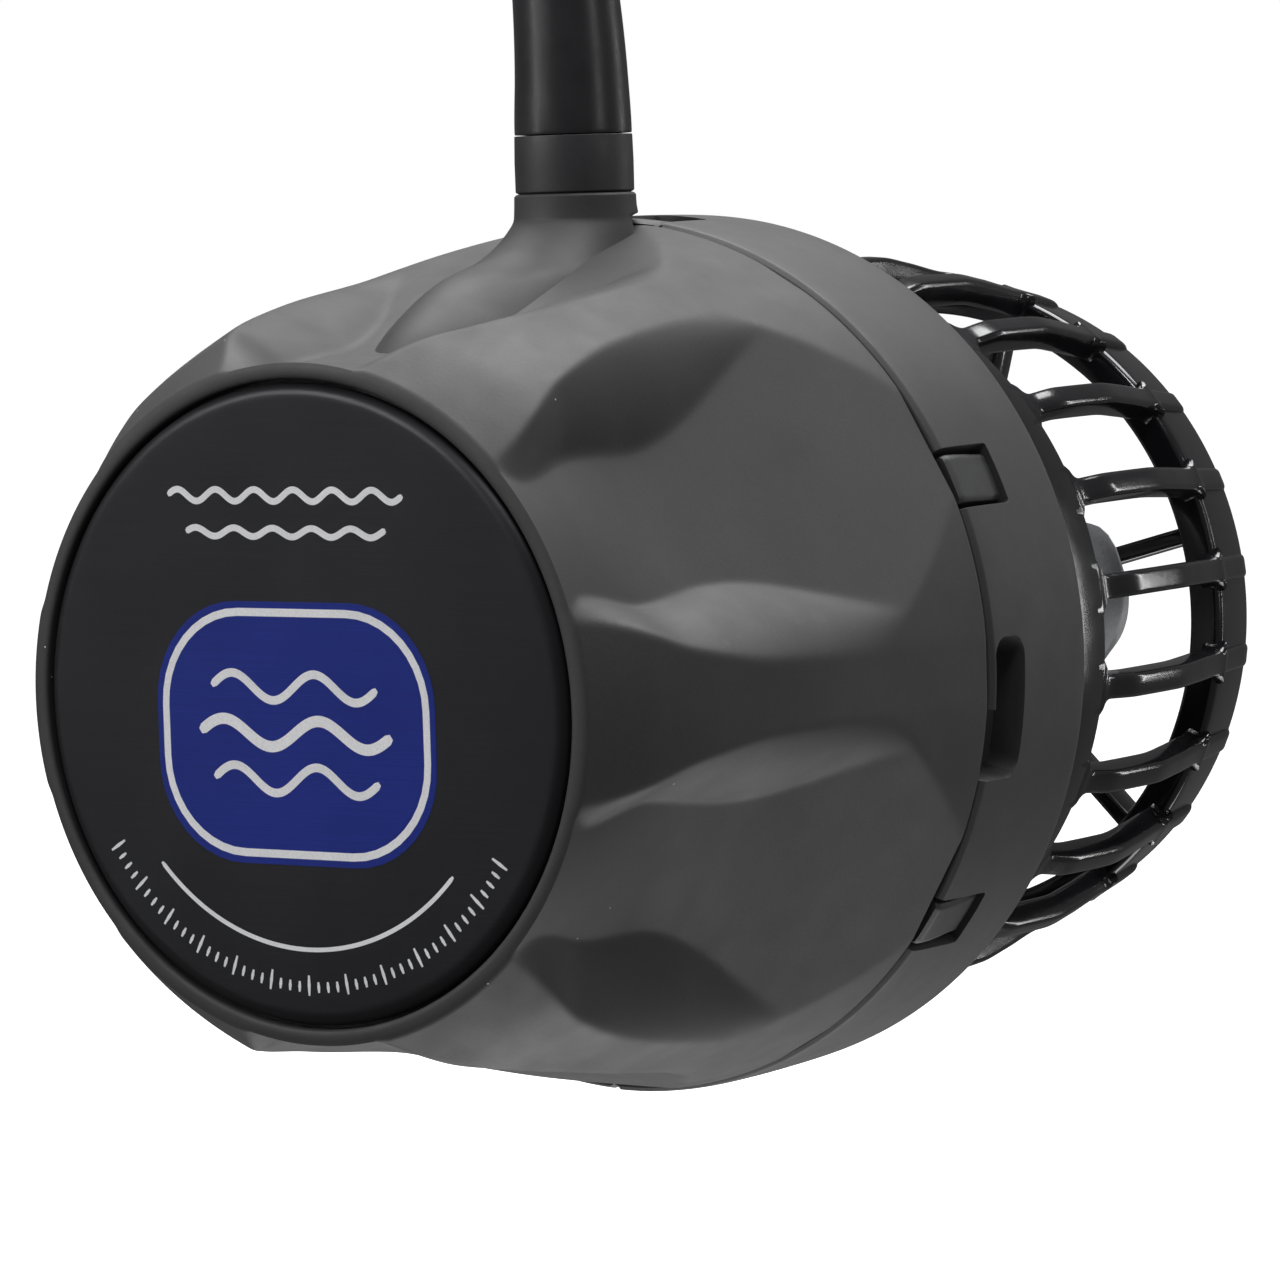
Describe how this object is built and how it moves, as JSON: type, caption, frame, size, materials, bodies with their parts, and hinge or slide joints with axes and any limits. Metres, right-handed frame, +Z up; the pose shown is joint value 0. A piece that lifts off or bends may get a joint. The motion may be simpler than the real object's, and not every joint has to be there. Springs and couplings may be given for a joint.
{
  "type": "wave maker pump",
  "caption": "Aquarium circulation pump in two halves held through the tank glass by magnets: a lobed dry motor housing with a cable boot, and a caged propeller on the wet side.",
  "frame": {"origin": "on the pump's axis, on the plane where the dry side's pads meet the tank glass", "axes": "+Y along the axis toward the wet side and the cage; +Z up, the way the cable leaves; the round badge faces -Y"},
  "size_m": [0.2296, 0.1206, 0.3053],
  "materials": {
    "badge_black": "brushed anodised, satin",
    "foam_tape": "matte",
    "shell_grey": "matte soft-touch, fine grain",
    "ring_grey": "matte",
    "clip_black": "matte",
    "plate_black": "matte",
    "pad_rubber": "matte",
    "screw_steel": "plain",
    "mount_alloy": "machined",
    "board_green": "satin",
    "chip_black": "matte",
    "lamination": "laminated",
    "copper": "enamelled winding wire",
    "bearing_steel": "ground",
    "collar_black": "matte",
    "boot_rubber": "satin",
    "cord_black": "satin",
    "tie_black": "matte",
    "plug_black": "matte",
    "plug_metal": "plated",
    "contact_gold": "plated",
    "shaft_steel": "ground",
    "bell_steel": "plated",
    "magnet_grey": "plated",
    "disc_steel": "plated",
    "wet_black": "gloss",
    "bumper_grey": "matte",
    "axle_ceramic": "ground",
    "housing_black": "satin",
    "propeller_grey": "satin",
    "cage_black": "gloss"
  },
  "bodies": {
    "dry_side": {"front_badge": "badge_black", "badge_tape": "foam_tape", "front_shell": "shell_grey", "rear_ring": "ring_grey", "clip_ring": "clip_black", "face_plate": "plate_black", "glass_pads": "pad_rubber", "face_screws": "screw_steel", "motor_mount": "mount_alloy", "circuit_board": "board_green", "board_parts": "chip_black", "board_screws": "screw_steel", "stator_core": "lamination", "stator_coils": "copper", "front_bearing": "bearing_steel", "rear_bearing": "bearing_steel", "cable_collar": "collar_black", "strain_boot": "boot_rubber", "cord_run": "cord_black", "cord_coil": "cord_black", "cord_tail": "cord_black", "cord_ties": "tie_black", "plug_barrel": "plug_black", "plug_shell": "plug_metal", "plug_pins": "contact_gold"},
    "driver": {"motor_shaft": "shaft_steel", "rotor_bell": "bell_steel", "rotor_magnets": "magnet_grey", "driver_disc": "disc_steel", "driver_magnets": "magnet_grey", "driver_nut": "screw_steel"},
    "wet_side": {"wet_base": "wet_black", "wet_bumpers": "bumper_grey", "axle": "axle_ceramic", "thrust_washer": "axle_ceramic"},
    "impeller": {"magnet_housing": "housing_black", "impeller_magnets": "magnet_grey", "housing_lid": "housing_black", "bushing": "axle_ceramic", "propeller": "propeller_grey", "hub_cap": "propeller_grey"},
    "cage_body": {"cage_rim": "cage_black", "cage_bars": "cage_black", "cage_band": "cage_black", "cage_hub": "cage_black", "cage_spokes": "cage_black"}
  },
  "joints": [
    {"name": "driver_spin", "type": "hinge", "parent": "dry_side", "child": "driver", "pos_m": [0, -0.04, 0], "axis": [0, 1, 0], "continuous": true},
    {"name": "wet_side_pull", "type": "slide", "parent": "dry_side", "child": "wet_side", "axis": [0, 1, 0], "range_m": [0, 0.06]},
    {"name": "impeller_spin", "type": "hinge", "parent": "wet_side", "child": "impeller", "pos_m": [0, 0.02, 0], "axis": [0, 1, 0], "continuous": true},
    {"name": "cage_pull", "type": "slide", "parent": "wet_side", "child": "cage_body", "axis": [0, 1, 0], "range_m": [0, 0.05]}
  ],
  "couplings": [
    {"joint": "impeller_spin", "follows": "driver_spin", "ratio": 1}
  ]
}
